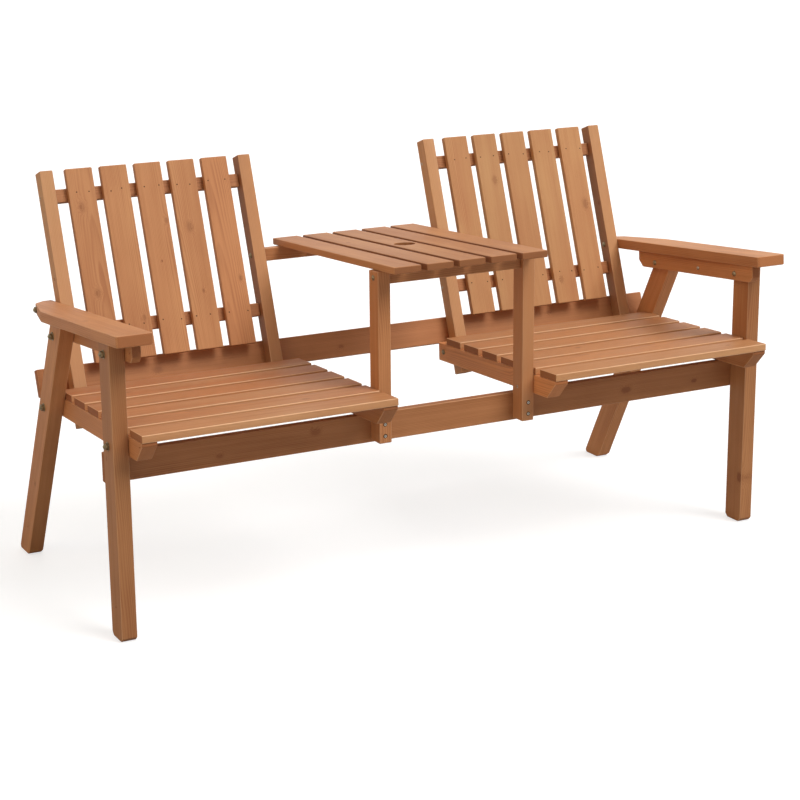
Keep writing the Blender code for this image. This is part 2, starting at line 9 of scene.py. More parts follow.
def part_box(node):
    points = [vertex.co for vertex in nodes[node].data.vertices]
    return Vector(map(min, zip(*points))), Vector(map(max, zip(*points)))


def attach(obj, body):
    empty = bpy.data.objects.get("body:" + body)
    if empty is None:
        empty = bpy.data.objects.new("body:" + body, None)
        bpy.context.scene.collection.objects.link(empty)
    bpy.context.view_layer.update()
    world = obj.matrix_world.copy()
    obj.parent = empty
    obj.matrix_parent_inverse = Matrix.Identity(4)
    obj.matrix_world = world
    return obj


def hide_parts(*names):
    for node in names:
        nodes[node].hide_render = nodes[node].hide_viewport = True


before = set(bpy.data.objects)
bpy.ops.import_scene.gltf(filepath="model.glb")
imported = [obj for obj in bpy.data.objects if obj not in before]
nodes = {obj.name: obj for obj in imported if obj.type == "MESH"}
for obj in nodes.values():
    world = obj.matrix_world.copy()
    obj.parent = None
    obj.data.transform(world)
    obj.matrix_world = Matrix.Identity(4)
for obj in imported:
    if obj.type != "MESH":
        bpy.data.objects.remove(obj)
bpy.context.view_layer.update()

scene = bpy.context.scene

# Slopes of the bench's planes, in radians

SEAT_SLOPE = math.radians(-2.4)
BACK_LEAN = math.radians(-19.3)
ARM_SLOPE = math.radians(-5.1)
TABLE_SLOPE = math.radians(-3.55)
REAR_LEG_LEAN = math.radians(27.986)

ACROSS = Vector((1, 0, 0))
FORWARD = Vector((0, -1, 0))
BACKWARD = Vector((0, 1, 0))
UPWARD = Vector((0, 0, 1))

SIDES = (("left", -1), ("right", 1))


def along_slope(angle):
    return Vector((0, math.cos(angle), math.sin(angle)))


def off_slope(angle):
    return Vector((0, -math.sin(angle), math.cos(angle)))


# Shader writing


class Wire:
    """A shader socket that takes part in plain arithmetic."""

    def __init__(self, finish, socket):
        self.finish = finish
        self.socket = socket

    def __add__(self, other):
        return self.finish.sum("ADD", self, other)

    __radd__ = __add__

    def __sub__(self, other):
        return self.finish.sum("SUBTRACT", self, other)

    def __rsub__(self, other):
        return self.finish.sum("SUBTRACT", other, self)

    def __mul__(self, other):
        return self.finish.sum("MULTIPLY", self, other)

    __rmul__ = __mul__

    def __truediv__(self, other):
        return self.finish.sum("DIVIDE", self, other)

    def __rtruediv__(self, other):
        return self.finish.sum("DIVIDE", other, self)

    def __abs__(self):
        return self.finish.sum("ABSOLUTE", self)

    def fraction(self):
        return self.finish.sum("FRACT", self)

    def root(self):
        return self.finish.sum("SQRT", self)

    def most(self, other):
        return self.finish.sum("MAXIMUM", self, other)

    def rise(self, start, end):
        """0 below start, 1 above end, smooth between them."""
        return self.finish.wire(
            "ShaderNodeMapRange",
            {"interpolation_type": "SMOOTHSTEP"},
            {"Value": self, "From Min": start, "From Max": end},
        )


class Finish:
    """One material, written node by node."""

    def __init__(self, name):
        self.material = bpy.data.materials.new(name)
        self.material.use_nodes = True
        self.tree = self.material.node_tree
        self.tree.nodes.clear()

    def node(self, kind, settings=None, inputs=None):
        made = self.tree.nodes.new(kind)
        for key, value in (settings or {}).items():
            setattr(made, key, value)
        for key, value in (inputs or {}).items():
            socket = made.inputs[key]
            if isinstance(value, Wire):
                self.tree.links.new(value.socket, socket)
            else:
                socket.default_value = value
        return made

    def wire(self, kind, settings=None, inputs=None, output=0):
        return Wire(self, self.node(kind, settings, inputs).outputs[output])

    def sum(self, operation, *values):
        return self.wire("ShaderNodeMath", {"operation": operation}, dict(enumerate(values)))

    def dot(self, first, second):
        inputs = {0: first, 1: second}
        return self.wire("ShaderNodeVectorMath", {"operation": "DOT_PRODUCT"}, inputs, "Value")

    def mixed(self, share, first, second):
        """Colour first turning into second."""
        settings = {"data_type": "RGBA", "blend_type": "MIX", "clamp_factor": True}
        return self.wire("ShaderNodeMix", settings, {0: share, 6: first, 7: second}, output=2)

    def joined(self, x, y, z):
        return self.wire("ShaderNodeCombineXYZ", None, {0: x, 1: y, 2: z})

    def noise(self, place, scale, detail=2.0, roughness=0.5):
        """Cloudy noise from 0 to 1."""
        inputs = {"Vector": place, "Scale": scale, "Detail": detail, "Roughness": roughness}
        return self.wire("ShaderNodeTexNoise", None, inputs)

    def bump(self, height, strength, distance):
        inputs = {"Strength": strength, "Distance": distance, "Height": height}
        return self.wire("ShaderNodeBump", None, inputs)

    def close(self, inputs):
        shader = self.node("ShaderNodeBsdfPrincipled", None, inputs)
        self.node("ShaderNodeOutputMaterial", None, {"Surface": Wire(self, shader.outputs[0])})
        return self.material


def colour(red, green, blue):
    return (red, green, blue, 1)


def dimmed(shade, share):
    return [c * share for c in shade]


# Wood


class Board:
    """A sawn board: its middle, its half sizes and the direction of its grain."""

    def __init__(self, node, grain, flat):
        self.node = node
        self.flat = flat.normalized()
        self.grain = grain.normalized()
        self.side = self.flat.cross(self.grain)
        spans = []
        for axis in (self.grain, self.side, self.flat):
            reach = [v.co.dot(axis) for v in node.data.vertices]
            spans.append((min(reach), max(reach)))
        middles = [(low + high) / 2 for low, high in spans]
        self.half = [(high - low) / 2 for low, high in spans]
        self.middle = (
            self.grain * middles[0] + self.side * middles[1] + self.flat * middles[2]
        )
        self.axes = Matrix((self.grain, self.side, self.flat)).transposed()


PALE = (0.550, 0.246, 0.097)
RIPE = (0.385, 0.142, 0.050)
STRAW = (0.640, 0.345, 0.165)
KNOT = (0.165, 0.046, 0.017)
PORE = (0.20, 0.070, 0.030)
EDGE_WEAR_AND_HIGHLIGHT = (0.76, 0.46, 0.26)
GAP_SHADE = (0.150, 0.034, 0.010)

# What one step of rosiness does to red, green and blue, and how end grain takes the stain
ROSY_STEP = (0.03, -0.05, -0.08)
END_TINT = (1.0, 0.83, 0.72)

# Waves per metre along the board, across it and through it
WANDER = (1.6, 7.0, 7.0)
CLOUDS = (3.0, 11.0, 11.0)
PATCHES = (7.0, 16.0, 16.0)
STREAKS = (2.1, 85.0, 85.0)
FIBRES = (9.0, 520.0, 520.0)
RAGGED_EDGE = (150.0, 240.0, 200.0)

RING_SPACING = 0.0024
RING_UNEVENNESS = 2.6
RINGS_ROUND_A_KNOT = 4.0
KNOT_SLIMNESS = 0.62


class Wood(Finish):
    """Stained softwood, sawn along one board."""

    def __init__(self, board, shift):
        super().__init__(board.node.name + "_wood")
        self.shift = shift
        spot = self.wire("ShaderNodeTexCoord", output="Object")
        inputs = {"Vector": spot, "Location": board.middle, "Rotation": board.axes.to_euler()}
        local = self.wire("ShaderNodeMapping", {"vector_type": "TEXTURE"}, inputs)
        parts = self.node("ShaderNodeSeparateXYZ", None, {0: local})
        self.along, self.across, self.through = (Wire(self, parts.outputs[i]) for i in range(3))
        self.facing = self.wire("ShaderNodeNewGeometry", output="Normal")

    def drawn_out(self, waves, start, detail=2.0, roughness=0.5):
        """Noise drawn out along the grain."""
        place = self.joined(
            self.along * waves[0] + start, self.across * waves[1], self.through * waves[2]
        )
        return self.noise(place, 1.0, detail, roughness)

    def towards(self, direction):
        """1 where the surface looks in this direction, -1 where it looks away from it."""
        return self.dot(self.facing, direction)


def knot_marks(wood, knots):
    """The knots' ragged edges, the bulge of the grain round them, and their dark cores."""
    ragged = wood.drawn_out(RAGGED_EDGE, 0.0, 2.0, 0.6)
    bulge = None
    core = None
    for knot_along, knot_across, size, darkness in knots:
        far = (wood.along - knot_along) * (KNOT_SLIMNESS / size)
        wide = (wood.across - knot_across) * (1.0 / size)
        distance = (far * far + wide * wide) * (0.30 + ragged * 1.4)
        near = 1.0 / (1.0 + distance * distance * 0.35)
        dark = (1.0 - distance.rise(0.30, 1.25)) * darkness
        bulge = near if bulge is None else bulge + near
        core = dark if core is None else core.most(dark)
    return ragged, bulge, core


def growth_rings(wood, board, chance, bulge):
    """How far a spot lies into its ring, and how much late wood shows there."""
    # The heart of the tree lies off the board and drifts slowly along it
    heart_across = chance.choice((-1, 1)) * chance.uniform(0.3, 3.2) * board.half[1]
    heart_through = -chance.uniform(0.03, 0.08)
    drift_across = chance.uniform(-0.02, 0.02)
    drift_through = chance.choice((-1, 1)) * chance.uniform(0.004, 0.022)

    wander = wood.drawn_out(WANDER, wood.shift) - 0.5
    spread = wood.across - wood.along * drift_across + wander * 0.016 - heart_across
    depth = wood.through - wood.along * drift_through + wander * 0.010 - heart_through
    radius = (spread * spread + depth * depth).root()
    growth = wood.noise(wood.joined(radius * 55.0 + wood.shift, 0.0, 0.0), 1.0, 1.0)
    count = radius / RING_SPACING + growth * RING_UNEVENNESS
    if bulge is not None:
        count = count + bulge * RINGS_ROUND_A_KNOT
    ring = count.fraction()
    return ring, ring.rise(0.25, 0.86) * (1.0 - ring.rise(0.90, 1.0))


def wood_finish(board, chance, tone, rosy, knots, end_shade, straw, edge_wear_and_highlight, shaded):
    """Stained softwood: growth rings, fibres, knots, end grain, worn edges with a painted
    highlight, and painted light and shade on some faces.
    """
    wood = Wood(board, chance.uniform(-40, 40))
    ragged, bulge, core = knot_marks(wood, knots) if knots else (None, None, None)
    ring, late = growth_rings(wood, board, chance, bulge)
    fibre = wood.drawn_out(FIBRES, wood.shift, 3.0, 0.6)
    streak = wood.drawn_out(STREAKS, -wood.shift, 2.0, 0.55)
    cloud = wood.drawn_out(CLOUDS, wood.shift)
    patch = wood.drawn_out(PATCHES, -wood.shift, 2.0, 0.55).rise(0.34, 0.70)

    end = abs(wood.towards(board.grain)).rise(0.55, 0.9)
    tilt = abs(wood.towards(board.flat))
    edge = tilt.rise(0.10, 0.40) * (1.0 - tilt.rise(0.86, 0.985)) * (1.0 - end)

    pale = [c * (1 + step * rosy) for c, step in zip(dimmed(PALE, tone), ROSY_STEP)]
    ripe = dimmed(RIPE, tone)
    shade = (
        late * (0.20 + patch * 0.40)
        + (streak - 0.5) * 0.86
        + (fibre - 0.5) * 0.58
        + (cloud - 0.5) * 1.30
        + 0.21
    )
    body = wood.mixed(shade, colour(*pale), colour(*ripe))
    if straw:
        # Straw colour: sapwood in the streaks, and painted light on the narrow faces
        narrow = abs(wood.towards(board.side)).rise(0.5, 0.9)
        sapwood_and_narrow_light = ((cloud * 0.6 + streak * 0.6).rise(0.45, 0.85) + narrow * 0.6) * straw
        body = wood.mixed(sapwood_and_narrow_light, body, colour(*STRAW))
    if knots:
        halo = bulge.rise(0.10, 0.9) * (0.30 + late * 0.25)
        body = wood.mixed(halo, body, colour(*dimmed(RIPE, 0.80)))
        body = wood.mixed(core * (0.22 + ring * 0.62 + ragged * 0.30), body, colour(*KNOT))
    # Painted shade on faces that look into a gap or lie in the shade of other parts
    for direction, share in shaded:
        turned = wood.towards(direction).rise(0.5, 0.9)
        body = wood.mixed(turned * share, body, colour(*GAP_SHADE))
    body = wood.mixed(fibre.rise(0.60, 0.74) * 0.16, body, colour(*PORE))
    # Lighter edges: stain worn off, and a painted highlight where the rounded edges catch the
    # light
    body = wood.mixed(edge * (0.24 + cloud * 0.42) * edge_wear_and_highlight, body, colour(*EDGE_WEAR_AND_HIGHLIGHT))
    end_pale = [c * end_shade * tint for c, tint in zip(pale, END_TINT)]
    end_ripe = dimmed(ripe, 0.62)
    end_body = wood.mixed(late * 0.45 + fibre * 0.25, colour(*end_pale), colour(*end_ripe))
    height = fibre * 0.5 + late * 0.35 + streak * 0.3
    return wood.close(
        {
            "Base Color": wood.mixed(end, body, end_body),
            "Roughness": 0.46 + fibre * 0.16 + end * 0.16 - late * 0.06 + edge * 0.05,
            "Normal": wood.bump(height, 0.35, 0.0004),
            "Specular IOR Level": 0.22,
        }
    )


# Steel

TARNISH = (0.13, 0.095, 0.060)


def steel_finish(name, bright, rough, stain):
    """Steel with a brushed look and dull, stained spots."""
    f = Finish(name)
    spot = f.wire("ShaderNodeTexCoord", output="Object")
    grit = f.noise(spot, 900.0, 3.0, 0.6)
    dull = f.noise(spot, 160.0).rise(0.48, 0.72)
    body = f.mixed(grit * 0.5, colour(*bright), colour(*dimmed(bright, 0.72)))
    return f.close(
        {
            "Base Color": f.mixed(dull * stain, body, colour(*TARNISH)),
            "Metallic": 1.0,
            "Roughness": rough + dull * 0.22 + grit * 0.10,
            "Normal": f.bump(grit, 0.2, 0.0002),
        }
    )


ZINC = steel_finish("zinc_plated_steel", (0.34, 0.26, 0.15), 0.32, 0.75)
SCREW_STEEL = steel_finish("screw_steel", (0.50, 0.43, 0.33), 0.34, 0.60)
BRIGHT_STEEL = steel_finish("bright_screw_steel", (0.78, 0.72, 0.62), 0.30, 0.2)
NAIL_STEEL = steel_finish("nail_steel", (0.10, 0.055, 0.032), 0.60, 0.5)


# Soft edges of the sawn boards

EDGE_ROUNDING = 0.0005
SAME_SPOT = 0.00002


def make_edge_cleaner():
    """Joins the split points of a board's faces, so that its edges can be rounded."""
    group = bpy.data.node_groups.new("joined_faces", "GeometryNodeTree")
    group.interface.new_socket("Geometry", in_out="INPUT", socket_type="NodeSocketGeometry")
    group.interface.new_socket("Geometry", in_out="OUTPUT", socket_type="NodeSocketGeometry")
    enter = group.nodes.new("NodeGroupInput")
    plain = group.nodes.new("GeometryNodeRemoveAttribute")
    plain.inputs["Name"].default_value = "custom_normal"
    merge = group.nodes.new("GeometryNodeMergeByDistance")
    merge.inputs["Distance"].default_value = SAME_SPOT
    faces = group.nodes.new("GeometryNodeSetShadeSmooth")
    faces.domain = "FACE"
    edges = group.nodes.new("GeometryNodeSetShadeSmooth")
    edges.domain = "EDGE"
    leave = group.nodes.new("NodeGroupOutput")
    chain = [enter, plain, merge, faces, edges, leave]
    for first, second in zip(chain, chain[1:]):
        group.links.new(first.outputs[0], second.inputs[0])
    return group


JOINED_FACES = make_edge_cleaner()


def soften(node):
    """Rounds the chamfers that the solids have along their edges."""
    cleaner = node.modifiers.new("joined faces", "NODES")
    cleaner.node_group = JOINED_FACES
    flat = node.modifiers.new("flat faces", "DECIMATE")
    flat.decimate_type = "DISSOLVE"
    flat.angle_limit = math.radians(0.8)
    bevel = node.modifiers.new("soft edges", "BEVEL")
    bevel.width = EDGE_ROUNDING
    bevel.segments = 1
    bevel.limit_method = "ANGLE"
    bevel.angle_limit = math.radians(30)
    bevel.use_clamp_overlap = False
    bevel.harden_normals = True
    normals = node.modifiers.new("face normals", "WEIGHTED_NORMAL")
    normals.keep_sharp = False
    normals.weight = 90


# How each kind of board is sawn: the direction of its grain, and the way its broad face looks

SAWN = {
    "front_leg": (UPWARD, ACROSS),
    "rear_leg": (off_slope(REAR_LEG_LEAN), ACROSS),
    "table_post": (UPWARD, ACROSS),
    "front_long_rail": (ACROSS, BACKWARD),
    "rear_long_rail": (ACROSS, along_slope(BACK_LEAN)),
    "outer_side_rail": (along_slope(SEAT_SLOPE), ACROSS),
    "inner_side_rail": (along_slope(SEAT_SLOPE), ACROSS),
    "seat_slat": (ACROSS, off_slope(SEAT_SLOPE)),
    "outer_stile": (off_slope(BACK_LEAN), ACROSS),
    "inner_stile": (off_slope(BACK_LEAN), ACROSS),
    "lower_cross_rail": (ACROSS, along_slope(BACK_LEAN)),
    "upper_cross_rail": (ACROSS, along_slope(BACK_LEAN)),
    "back_slat": (off_slope(BACK_LEAN), along_slope(BACK_LEAN)),
    "armrest": (along_slope(ARM_SLOPE), off_slope(ARM_SLOPE)),
    "arm_support": (along_slope(ARM_SLOPE), ACROSS),
    "table_front_apron": (ACROSS, BACKWARD),
    "table_rear_rail": (ACROSS, along_slope(BACK_LEAN)),
    "table_slat": (along_slope(TABLE_SLOPE), off_slope(TABLE_SLOPE)),
}

# Tone and rosiness of a kind of board; each board then differs from it a little, by chance

USUAL_TONES = {
    "outer_side_rail": (0.94, 0.6),
    "inner_side_rail": (0.96, 0.6),
    "seat_slat_right": (0.92, 0.8),
    "seat_slat": (0.83, 1.6),
    "lower_cross_rail": (0.92, 0.8),
    "upper_cross_rail": (0.92, 0.8),
    "back_slat_right": (1.09, -1.8),
    "back_slat": (1.01, -0.2),
    "arm_support": (0.95, 0.5),
    "table_front_apron": (0.94, 0.5),
    "table_rear_rail": (0.94, 0.5),
    "table_slat": (0.94, -0.1),
}

# Tone and rosiness of the boards that have their own

OWN_TONES = {
    # The left front leg is darker: painted shade
    "front_leg_left": (0.75, 0.0),
    "front_leg_right": (0.83, 0.0),
    "rear_leg_left": (0.96, 0.1),
    "rear_leg_right": (1.10, 0.2),
    "armrest_left": (0.97, 0.4),
    "armrest_right": (1.12, -0.1),
    "outer_stile_left": (1.00, -1.7),
    "outer_stile_right": (1.02, -1.0),
    "inner_stile_left": (0.96, -0.4),
    "inner_stile_right": (1.03, -1.2),
    "table_post_left": (0.99, 0.3),
    "table_post_right": (0.98, 0.9),
    "front_long_rail": (0.83, 0.6),
    "rear_long_rail": (0.91, 1.2),
    "outer_side_rail_left": (0.96, 1.0),
    # The right seat's inner side rail is lighter: painted light on a face that the table and post
    # shade
    "inner_side_rail_right": (1.32, 0.7),
    "seat_slat_left_1": (0.86, 0.6),
    # The left seat's rear slats are darker: painted shadow of the back
    "seat_slat_left_4": (0.80, 2.0),
    "seat_slat_left_5": (0.77, 2.5),
    "seat_slat_left_6": (0.75, 2.7),
    "seat_slat_right_1": (0.94, -0.2),
    "back_slat_left_5": (1.01, 0.4),
}

# Knots: distance along the board and across it from its middle, size and darkness

KNOTS = {
    "front_leg_right": [(-0.205, 0.021, 0.0085, 0.9)],
    "front_leg_left": [(0.070, -0.012, 0.0036, 0.4)],
    "rear_leg_left": [(-0.120, 0.009, 0.0042, 0.4)],
    "front_long_rail": [
        (0.470, 0.003, 0.0085, 0.7),
        (0.662, 0.006, 0.0050, 0.9),
        (-0.325, -0.010, 0.0075, 0.35),
        (-0.547, 0.010, 0.0048, 0.4),
    ],
    "rear_long_rail": [
        (-0.060, 0.007, 0.0042, 0.4),
        (0.520, -0.009, 0.0046, 0.4),
        (-0.520, 0.004, 0.0075, 0.35),
    ],
    "seat_slat_left_2": [(0.120, -0.012, 0.0050, 0.25)],
    "seat_slat_left_5": [(-0.170, 0.012, 0.0042, 0.3)],
    "seat_slat_right_1": [(0.205, 0.004, 0.0034, 0.4)],
    "seat_slat_right_3": [(-0.090, 0.013, 0.0044, 0.3)],
    "back_slat_left_1": [(0.130, -0.006, 0.0060, 0.22), (-0.064, -0.001, 0.0055, 0.25)],
    "back_slat_left_2": [(-0.130, 0.016, 0.0036, 0.3)],
    "back_slat_left_3": [(-0.008, -0.002, 0.0018, 1.0), (0.082, 0.024, 0.0036, 0.35)],
    "back_slat_left_4": [(0.063, -0.004, 0.0066, 0.25), (-0.085, 0.004, 0.0030, 0.4)],
    "back_slat_left_5": [(-0.066, 0.018, 0.0038, 0.4)],
    "back_slat_right_2": [(0.103, 0.009, 0.0060, 0.22)],
    "back_slat_right_3": [(-0.120, -0.008, 0.0030, 0.3)],
    "back_slat_right_4": [(-0.160, -0.012, 0.0050, 0.15)],
    "back_slat_right_5": [(0.022, 0.0125, 0.0070, 0.35)],
    "table_slat_2": [(0.110, 0.010, 0.0040, 0.3)],
    "armrest_left": [(-0.060, 0.012, 0.0042, 0.15)],
    "outer_stile_right": [(0.090, 0.008, 0.0036, 0.3)],
    "inner_side_rail_right": [(-0.105, 0.006, 0.0070, 0.25)],
}

# How much straw colour a board shows: sapwood in its streaks, and painted light on its narrow
# faces

STRAW_SHARES = {
    "seat_slat_left_1": 0.5,
    "seat_slat_right_1": 0.5,
    "seat_slat": 0.42,
    "table_post_right": 0.25,
    "outer_stile_left": 0.35,
    "inner_stile_left": 0.2,
    "inner_stile_right": 0.5,
    "outer_stile_right": 0.4,
    "back_slat_right": 0.12,
}

# How light the end grain is, and how much lighter the edges are: worn stain and a painted
# highlight

# The right armrest's end is lighter than the left's: painted light
END_SHADES = {"armrest_left": 0.76, "armrest_right": 0.92, "table_slat": 0.62}
USUAL_END_SHADE = 0.72
# On the seat slats this edge lightening is mostly painted highlight along their edges
EDGE_WEAR_AND_HIGHLIGHT_SHARES = {"seat_slat": 1.8, "back_slat": 0.35, "table_slat": 0.25}
USUAL_EDGE_WEAR_AND_HIGHLIGHT = 0.6

# Faces with painted shade, where they look into a narrow gap or lie in the shade of other parts:
# the way they look, and how much

SHADED_FACES = {
    "table_slat_1": ((ACROSS, 0.6),),
    "table_slat_5": ((-ACROSS, 0.6),),
    "table_slat": ((ACROSS, 0.6), (-ACROSS, 0.6)),
    "inner_stile_left": ((-ACROSS, 0.45),),
    "outer_stile_right": ((-ACROSS, 0.45),),
    "outer_stile_left": ((ACROSS, 0.45),),
    "inner_stile_right": ((ACROSS, 0.45),),
    "armrest_right": ((-ACROSS, 0.32),),
}


def pick(table, name, otherwise=None):
    """A board's value: that of the first row whose name the board's name starts with."""
    return next((table[kind] for kind in table if name.startswith(kind)), otherwise)


chance = random.Random(57)
boards = {}
for name in sorted(nodes):
    if "bolt" in name:
        continue
    board = Board(nodes[name], *pick(SAWN, name))
    boards[name] = board
    lighter, rosier = chance.uniform(0.95, 1.05), chance.uniform(-0.35, 0.35)
    if name in OWN_TONES:
        tone, rosy = OWN_TONES[name]
    else:
        tone, rosy = pick(USUAL_TONES, name)
        tone, rosy = tone * lighter, rosy + rosier
    board.node.material_slots[0].material = wood_finish(
        board,
        chance,
        tone,
        rosy,
        KNOTS.get(name, ()),
        pick(END_SHADES, name, USUAL_END_SHADE),
        pick(STRAW_SHARES, name, 0.0),
        pick(EDGE_WEAR_AND_HIGHLIGHT_SHARES, name, USUAL_EDGE_WEAR_AND_HIGHLIGHT),
        pick(SHADED_FACES, name, ()),
    )
    soften(board.node)


# Fasteners


class Hardware:
    """Fasteners of one kind, gathered into one mesh."""

    def __init__(self):
        self.mesh = bmesh.new()

    def point(self, place, x, y, z):
        return self.mesh.verts.new(place @ Vector((x, y, z)))

    def ring(self, place, height, reaches):
        """Points round a fastener's own axis, at one height."""
        made = []
        for step, reach in enumerate(reaches):
            turn = 2 * math.pi * step / len(reaches)
            made.append(self.point(place, reach * math.cos(turn), reach * math.sin(turn), height))
        return made

    def band(self, lower, upper):
        """Faces from ring to ring; a ring of a single point is a tip."""
        steps = max(len(lower), len(upper))
        for step in range(steps):
            after = (step + 1) % steps
            if len(lower) == 1:
                corners = [lower[0], upper[after], upper[step]]
            elif len(upper) == 1:
                corners = [lower[step], lower[after], upper[0]]
            else:
                corners = [lower[step], lower[after], upper[after], upper[step]]
            self.mesh.faces.new(corners)

    def turned(self, place, profile, steps):
        """A turned piece: profile is (radius, height) from its lower middle to its top middle."""
        rings = []
        for radius, height in profile:
            rings.append(self.ring(place, height, [radius] * (steps if radius else 1)))
        for lower, upper in zip(rings, rings[1:]):
            self.band(lower, upper)

    def finished(self, name, material, replaced=()):
        bmesh.ops.recalc_face_normals(self.mesh, faces=self.mesh.faces)
        data = bpy.data.meshes.new(name)
        self.mesh.to_mesh(data)
        self.mesh.free()
        data.shade_smooth()
        data.set_sharp_from_angle(angle=math.radians(34))
        piece = bpy.data.objects.new(name, data)
        scene.collection.objects.link(piece)
        data.materials.append(material)
        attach(piece, "root")
        if replaced:
            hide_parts(*replaced)


def facing_place(point, outward, turn=0.0):
    """Where a fastener sits: its own up points outward from the wood."""
    spin = Matrix.Rotation(turn, 4, "Z")
    aim = Vector(outward).normalized().to_track_quat("Z", "Y").to_matrix().to_4x4()
    return Matrix.Translation(Vector(point)) @ aim @ spin


def side_place(side, spot, away, turn=0.0):
    """A place on a board's side: away is 1 from the bench's middle, -1 towards it."""
    x, y, z = spot
    return facing_place((side * x, y, z), (side * away, 0, 0), turn)


BOLT_RADIUS = 0.0038
SHANK_SUNK = 0.0003
DOME_RADIUS = 0.0064
DOME_HEIGHT = 0.0038
DOME_RIM = 0.0004
DOME_STEPS = 6
WASHER_RADIUS = 0.0094
WASHER_THICKNESS = 0.0014
WASHER_SUNK = 0.0003
NUT_APOTHEM = 0.0064
NUT_THICKNESS = 0.0058
NUT_CHAMFER = 0.0009
NUT_STEPS = 36
BORE_CHAMFER = 0.0011
THREAD_HIDDEN = 0.0012
THREAD_END = 0.0030
THREAD_PITCH = 0.00125
THREAD_DEPTH = 0.0005
THREAD_CHAMFER = 0.0006


def add_dome(hardware, place, radius=DOME_RADIUS, height=DOME_HEIGHT):
    """A round head, sunk a little so that no light shows under it."""
    profile = [(0, -DOME_RIM), (radius, -DOME_RIM), (radius, DOME_RIM)]
    for step in range(1, DOME_STEPS):
        turn = math.pi / 2 * step / DOME_STEPS
        up = DOME_RIM + (height - DOME_RIM) * math.sin(turn)
        profile.append((radius * 0.985 * math.cos(turn), up))
    profile.append((0, height))
    hardware.turned(place, profile, 28)


def add_washer(hardware, place, radius=WASHER_RADIUS, thickness=WASHER_THICKNESS):
    lip = thickness * 0.25
    profile = [
        (0, -WASHER_SUNK),
        (radius - lip, -WASHER_SUNK),
        (radius, lip - WASHER_SUNK),
        (radius, thickness - lip),
        (radius - lip, thickness),
        (0, thickness),
    ]
    hardware.turned(place, profile, 32)


def hexagon(apothem, turn):
    """How far a hexagon reaches at this turn."""
    return apothem / math.cos((turn + math.pi / 6) % (math.pi / 3) - math.pi / 6)


def add_nut(hardware, place, foot):
    """A hexagon nut with its corners turned off, round a chamfered bore."""
    crown = foot + NUT_THICKNESS
    corner = NUT_APOTHEM / math.cos(math.pi / 6)
    outside = [hexagon(NUT_APOTHEM, 2 * math.pi * i / NUT_STEPS) for i in range(NUT_STEPS)]
    rings = []
    for height, limit in (
        (foot, NUT_APOTHEM * 1.01),
        (foot + NUT_CHAMFER, corner),
        (crown - NUT_CHAMFER, corner),
        (crown, NUT_APOTHEM * 1.01),
    ):
        rings.append(hardware.ring(place, height, [min(reach, limit) for reach in outside]))
    for height, bore in (
        (crown, BOLT_RADIUS * 1.12),
        (crown - BORE_CHAMFER, BOLT_RADIUS * 0.9),
        (foot, BOLT_RADIUS * 0.9),
    ):
        rings.append(hardware.ring(place, height, [bore] * NUT_STEPS))
    for lower, upper in zip(rings, rings[1:] + rings[:1]):
        hardware.band(lower, upper)


def add_thread(hardware, place, start, end):
    """The threaded end of a bolt, ridge by ridge, with a small chamfer."""
    profile = [(0, start)]
    ridges = max(1, round((end - start) / THREAD_PITCH))
    pitch = (end - start - THREAD_CHAMFER) / ridges
    for ridge in range(ridges):
        foot = start + ridge * pitch
        profile += [(BOLT_RADIUS - THREAD_DEPTH, foot), (BOLT_RADIUS, foot + pitch * 0.5)]
    profile += [
        (BOLT_RADIUS - 0.0004, end - THREAD_CHAMFER),
        (BOLT_RADIUS - 0.0010, end),
        (0, end),
    ]
    hardware.turned(place, profile, 18)


def add_nut_end(hardware, place):
    """A bolt's far end: a washer, a nut, and the thread that comes out of it."""
    crown = WASHER_THICKNESS + NUT_THICKNESS
    add_washer(hardware, place)
    add_nut(hardware, place, WASHER_THICKNESS)
    add_thread(hardware, place, crown - THREAD_HIDDEN, crown + THREAD_END)


def add_bolt(hardware, side, y, z, head_x, nut_x, turn):
    """A through bolt across a leg: dome head inside, washer, nut and thread outside."""
    inner = side_place(side, (head_x, y, z), -1)
    outer = side_place(side, (nut_x, y, z), 1, turn)
    far = head_x - nut_x
    shank = [(0, far), (BOLT_RADIUS, far), (BOLT_RADIUS, -SHANK_SUNK), (0, -SHANK_SUNK)]
    add_dome(hardware, inner)
    hardware.turned(inner, shank, 14)
    add_nut_end(hardware, outer)


LAG_WASHER = (0.0062, 0.0011)
LAG_HEAD = (0.0046, 0.0024)


def add_lag_bolt(hardware, side, spot):
    """A lag bolt's low head on a small washer."""
    x, y, z = spot
    add_washer(hardware, side_place(side, spot, 1), *LAG_WASHER)
    add_dome(hardware, side_place(side, (x + LAG_WASHER[1], y, z), 1), *LAG_HEAD)


SCREW_SUNK = 0.0012
SCREW_PROUD = 0.00035
SCREW_STEPS = 24
RECESS_DEPTH = 0.0011


def add_cross_screw(hardware, place, radius, top=SCREW_PROUD):
    """A flat screw head, barely proud of the wood, with a cross recess."""
    mesh = hardware.mesh
    low = hardware.ring(place, -SCREW_SUNK, [radius] * SCREW_STEPS)
    high = hardware.ring(place, top, [radius * 0.93] * SCREW_STEPS)
    arm, half = radius * 0.66, radius * 0.15
    outline = [
        (arm, -half), (arm, half), (half, half), (half, arm), (-half, arm), (-half, half),
        (-arm, half), (-arm, -half), (-half, -half), (-half, -arm), (half, -arm), (half, -half),
    ]
    mouth = [hardware.point(place, x, y, top) for x, y in outline]
    bottom = [hardware.point(place, x * 0.8, y * 0.8, top - RECESS_DEPTH) for x, y in outline]
    hardware.band(low, high)
    hardware.band(bottom, mouth)
    mesh.faces.new(bottom)
    mesh.faces.new(low)
    edges = []
    for loop in (high, mouth):
        for first, second in zip(loop, loop[1:] + loop[:1]):
            edges.append(mesh.edges.get((first, second)) or mesh.edges.new((first, second)))
    bmesh.ops.triangle_fill(mesh, use_beauty=True, use_dissolve=False, edges=edges)


